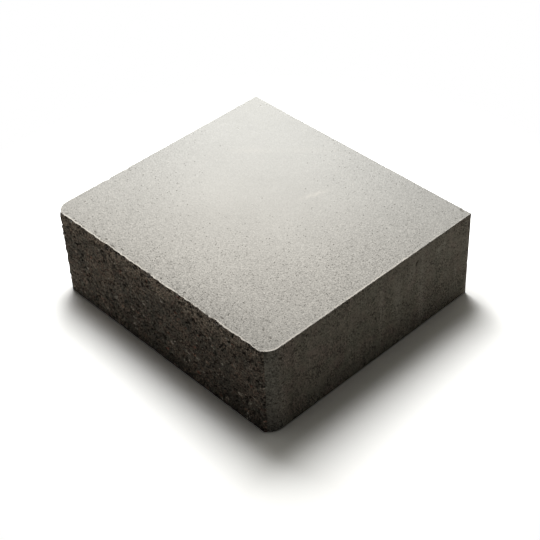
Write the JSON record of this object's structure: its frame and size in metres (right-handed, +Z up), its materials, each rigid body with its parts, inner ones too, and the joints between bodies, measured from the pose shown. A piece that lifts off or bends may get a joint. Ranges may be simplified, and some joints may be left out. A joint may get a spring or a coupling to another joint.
{
  "type": "concrete step",
  "caption": "Low solid concrete step block with a flat tread, straight mould-formed sides and a rough split riser between two rounded front corners.",
  "frame": {"origin": "on the ground, at the middle of the block's footprint", "axes": "+X along the riser, -Y the side that the riser faces, +Z up to the tread"},
  "size_m": [0.445, 0.405, 0.15],
  "materials": {
    "concrete": "dry-cast concrete: sandy matt tread, drag-marked mould sides, rough split riser with exposed aggregate"
  },
  "bodies": {
    "root": {"step_block": "concrete"}
  },
  "joints": []
}
